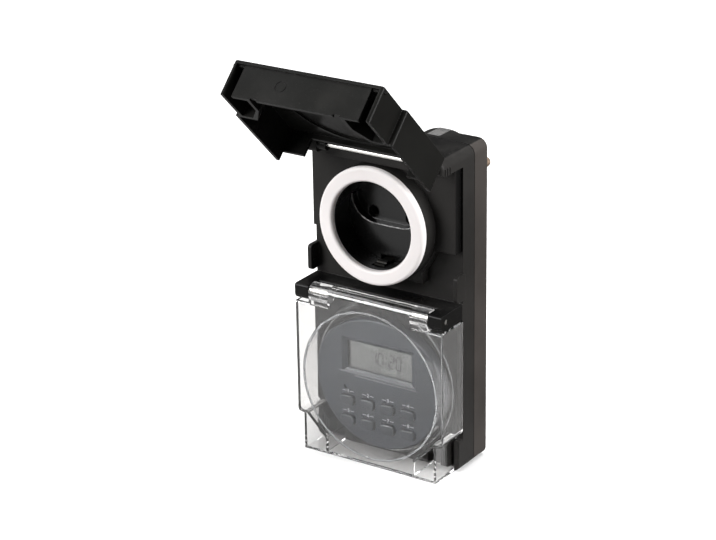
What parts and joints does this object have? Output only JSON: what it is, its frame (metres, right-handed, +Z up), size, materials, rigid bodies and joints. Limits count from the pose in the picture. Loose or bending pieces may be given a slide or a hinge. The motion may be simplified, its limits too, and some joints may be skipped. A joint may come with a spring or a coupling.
{
  "type": "plug-in timer switch",
  "caption": "Outdoor plug-in timer switch with a flapped, sealed socket above and a digital timer under a hinged clear cover below.",
  "frame": {"origin": "centre of the plug's end face, between the two pins, where they leave it", "axes": "+Z up, +Y into the wall along the pins, -Y towards the user, +X to the right seen from the front"},
  "size_m": [0.0766, 0.1352, 0.1898],
  "materials": {
    "housing_black": "fine moulded grain",
    "timer_grey": "fine moulded grain",
    "clear_plastic": "clear and polished",
    "white_seal": "soft and smooth",
    "black_rubber": "matt",
    "bright_steel": "bright nickel plate",
    "pin_brass": "drawn",
    "display_glass": "grey liquid crystal",
    "board_green": "solder mask",
    "part_black": "moulded",
    "part_blue": "moulded",
    "part_ochre": "dipped film capacitor",
    "carrier_beige": "heat resistant moulding"
  },
  "bodies": {
    "housing": {"front_shell": "housing_black", "rear_shell": "housing_black", "housing_screws": "bright_steel", "plug_neck": "housing_black", "line_pin": "pin_brass", "neutral_pin": "pin_brass", "socket_well": "housing_black", "socket_insert": "housing_black", "sealing_ring": "white_seal", "flap_hinge_rod": "bright_steel", "cover_hinge_pins": "bright_steel", "cover_catch_left": "housing_black", "cover_catch_right": "housing_black", "timer_face": "timer_grey", "display_window": "clear_plastic", "plug_earth_strips": "bright_steel", "line_busbar": "pin_brass", "neutral_busbar": "pin_brass", "line_link": "pin_brass", "contact_carrier": "carrier_beige", "line_contact": "pin_brass", "neutral_contact": "pin_brass", "socket_earth_clips": "bright_steel", "display_panel": "display_glass", "display_frame": "timer_grey", "contact_strips": "black_rubber", "display_board": "board_green", "timer_chip": "part_black", "quartz_crystal": "bright_steel", "keypad_mat": "black_rubber", "board_header": "part_black", "power_board": "board_green", "board_screws": "bright_steel", "relay": "part_blue", "dropper_capacitor": "part_ochre", "smoothing_capacitor": "part_black", "backup_cell": "bright_steel", "rectifier_diodes": "part_black", "seam_seal": "black_rubber", "cover_seal": "black_rubber"},
    "flap": {"socket_flap": "housing_black"},
    "cover": {"clear_cover": "clear_plastic"},
    "key_1": {"key_1": "timer_grey"},
    "key_2": {"key_2": "timer_grey"},
    "key_3": {"key_3": "timer_grey"},
    "key_4": {"key_4": "timer_grey"},
    "key_5": {"key_5": "timer_grey"},
    "key_6": {"key_6": "timer_grey"},
    "key_7": {"key_7": "timer_grey"},
    "key_8": {"key_8": "timer_grey"},
    "reset_plunger": {"reset_plunger": "timer_grey"}
  },
  "joints": [
    {"name": "flap_turn", "type": "hinge", "parent": "housing", "child": "flap", "pos_m": [0, -0.0624, 0.0259], "axis": [1, 0, 0], "range_deg": [0, 135]},
    {"name": "cover_turn", "type": "hinge", "parent": "housing", "child": "cover", "pos_m": [0, -0.0618, -0.0429], "axis": [-1, 0, 0], "range_deg": [0, 90]},
    {"name": "key_1_press", "type": "slide", "parent": "housing", "child": "key_1", "axis": [0, 1, 0], "range_m": [0, 0.0008], "stiffness_N_per_m": 1000, "springref_m": -0.0005},
    {"name": "key_2_press", "type": "slide", "parent": "housing", "child": "key_2", "axis": [0, 1, 0], "range_m": [0, 0.0008], "stiffness_N_per_m": 1000, "springref_m": -0.0005},
    {"name": "key_3_press", "type": "slide", "parent": "housing", "child": "key_3", "axis": [0, 1, 0], "range_m": [0, 0.0008], "stiffness_N_per_m": 1000, "springref_m": -0.0005},
    {"name": "key_4_press", "type": "slide", "parent": "housing", "child": "key_4", "axis": [0, 1, 0], "range_m": [0, 0.0008], "stiffness_N_per_m": 1000, "springref_m": -0.0005},
    {"name": "key_5_press", "type": "slide", "parent": "housing", "child": "key_5", "axis": [0, 1, 0], "range_m": [0, 0.0008], "stiffness_N_per_m": 1000, "springref_m": -0.0005},
    {"name": "key_6_press", "type": "slide", "parent": "housing", "child": "key_6", "axis": [0, 1, 0], "range_m": [0, 0.0008], "stiffness_N_per_m": 1000, "springref_m": -0.0005},
    {"name": "key_7_press", "type": "slide", "parent": "housing", "child": "key_7", "axis": [0, 1, 0], "range_m": [0, 0.0008], "stiffness_N_per_m": 1000, "springref_m": -0.0005},
    {"name": "key_8_press", "type": "slide", "parent": "housing", "child": "key_8", "axis": [0, 1, 0], "range_m": [0, 0.0008], "stiffness_N_per_m": 1000, "springref_m": -0.0005},
    {"name": "reset_plunger_press", "type": "slide", "parent": "housing", "child": "reset_plunger", "axis": [0, 1, 0], "range_m": [0, 0.0008], "stiffness_N_per_m": 1000, "springref_m": -0.0005}
  ]
}
